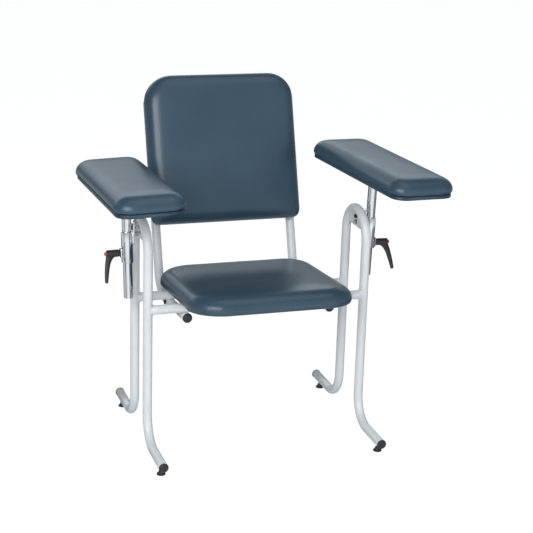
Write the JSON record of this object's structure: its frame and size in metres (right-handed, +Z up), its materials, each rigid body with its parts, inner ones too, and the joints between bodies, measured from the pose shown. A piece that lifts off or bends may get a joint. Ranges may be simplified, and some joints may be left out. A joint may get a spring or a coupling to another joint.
{
  "type": "blood-draw chair",
  "caption": "Fixed-back blood-draw chair on a bent steel tube frame, with padded arms that slide and swivel on clamped chrome posts.",
  "frame": {"origin": "on the floor, at the middle of the chair's overall width and depth", "axes": "+Z up, +Y towards the back rest, +X towards the right arm as seen by somebody facing the chair; a sitter faces -Y"},
  "size_m": [0.9186, 0.6938, 0.9599],
  "materials": {
    "painted_tube": "satin",
    "chrome": "polished",
    "vinyl": "satin",
    "plywood": "matte",
    "black_plastic": "satin",
    "red_plastic": "satin",
    "black_steel": "satin",
    "zinc": "satin",
    "plain_steel": "satin"
  },
  "bodies": {
    "frame": {"left_side_frame": "painted_tube", "right_side_frame": "painted_tube", "front_cross_tube": "painted_tube", "rear_cross_tube": "painted_tube", "left_back_rail": "painted_tube", "right_back_rail": "painted_tube", "left_gusset": "painted_tube", "right_gusset": "painted_tube", "left_sleeve": "chrome", "right_sleeve": "chrome", "left_front_foot_plug": "black_plastic", "left_rear_foot_plug": "black_plastic", "right_front_foot_plug": "black_plastic", "right_rear_foot_plug": "black_plastic", "left_rail_plug": "black_plastic", "right_rail_plug": "black_plastic", "left_upright_plug": "black_plastic", "right_upright_plug": "black_plastic", "left_rail_bolt": "black_steel", "right_rail_bolt": "black_steel", "left_lower_washer": "black_steel", "left_upper_washer": "black_steel", "right_lower_washer": "black_steel", "right_upper_washer": "black_steel", "left_lower_bolt": "zinc", "left_upper_bolt": "black_steel", "right_lower_bolt": "zinc", "right_upper_bolt": "black_steel", "seat_board": "plywood", "seat_cushion": "vinyl", "seat_screw_1": "zinc", "seat_screw_2": "zinc", "seat_screw_3": "zinc", "seat_screw_4": "zinc", "back_board": "vinyl", "back_cushion": "vinyl", "back_screw_1": "zinc", "back_screw_2": "zinc", "back_screw_3": "zinc", "back_screw_4": "zinc"},
    "left_arm_post": {"left_post": "chrome"},
    "left_arm": {"left_arm_plate": "plain_steel", "left_arm_base": "vinyl", "left_arm_cushion": "vinyl"},
    "left_clamp_lever": {"left_lever_handle": "black_plastic", "left_lever_stud": "plain_steel"},
    "left_clamp_button": {"left_lever_button": "red_plastic"},
    "left_front_foot": {"left_front_glide": "black_plastic"},
    "left_rear_foot": {"left_rear_glide": "black_plastic"},
    "right_arm_post": {"right_post": "chrome"},
    "right_arm": {"right_arm_plate": "plain_steel", "right_arm_base": "vinyl", "right_arm_cushion": "vinyl"},
    "right_clamp_lever": {"right_lever_handle": "black_plastic", "right_lever_stud": "plain_steel"},
    "right_clamp_button": {"right_lever_button": "red_plastic"},
    "right_front_foot": {"right_front_glide": "black_plastic"},
    "right_rear_foot": {"right_rear_glide": "black_plastic"}
  },
  "joints": [
    {"name": "left_arm_height", "type": "slide", "parent": "frame", "child": "left_arm_post", "axis": [-0.0283, 0, 0.9996], "range_m": [-0.058, 0.092]},
    {"name": "left_arm_swivel", "type": "hinge", "parent": "left_arm_post", "child": "left_arm", "pos_m": [-0.36374, -0.04629, 0.715], "axis": [-0.0283, 0, 0.9996], "range_deg": [-59, 38]},
    {"name": "left_clamp_turn", "type": "hinge", "parent": "frame", "child": "left_clamp_lever", "pos_m": [-0.38898, -0.04629, 0.54617], "axis": [-0.9996, 0, -0.0283], "range_deg": [-90, 90]},
    {"name": "left_clamp_release", "type": "slide", "parent": "left_clamp_lever", "child": "left_clamp_button", "axis": [-0.9996, 0, -0.0283], "range_m": [-0.003, 0], "stiffness_N_per_m": 500, "springref_m": 0.002},
    {"name": "right_arm_height", "type": "slide", "parent": "frame", "child": "right_arm_post", "axis": [0.0283, 0, 0.9996], "range_m": [-0.076, 0.074]},
    {"name": "right_arm_swivel", "type": "hinge", "parent": "right_arm_post", "child": "right_arm", "pos_m": [0.34007, -0.04629, 0.733], "axis": [0.0283, 0, 0.9996], "range_deg": [-43, 58]},
    {"name": "right_clamp_turn", "type": "hinge", "parent": "frame", "child": "right_clamp_lever", "pos_m": [0.36437, -0.04629, 0.53118], "axis": [0.9996, 0, -0.0283], "range_deg": [-90, 90]},
    {"name": "right_clamp_release", "type": "slide", "parent": "right_clamp_lever", "child": "right_clamp_button", "axis": [0.9996, 0, -0.0283], "range_m": [-0.003, 0], "stiffness_N_per_m": 500, "springref_m": 0.002},
    {"name": "left_front_glide_screw", "type": "hinge", "parent": "frame", "child": "left_front_foot", "pos_m": [-0.32009, -0.28429, 0.02], "axis": [0, 0, 1], "continuous": true},
    {"name": "left_rear_glide_screw", "type": "hinge", "parent": "frame", "child": "left_rear_foot", "pos_m": [-0.32009, 0.18971, 0.02], "axis": [0, 0, 1], "continuous": true},
    {"name": "right_front_glide_screw", "type": "hinge", "parent": "frame", "child": "right_front_foot", "pos_m": [0.29591, -0.28429, 0.02], "axis": [0, 0, 1], "continuous": true},
    {"name": "right_rear_glide_screw", "type": "hinge", "parent": "frame", "child": "right_rear_foot", "pos_m": [0.29591, 0.18971, 0.02], "axis": [0, 0, 1], "continuous": true}
  ]
}
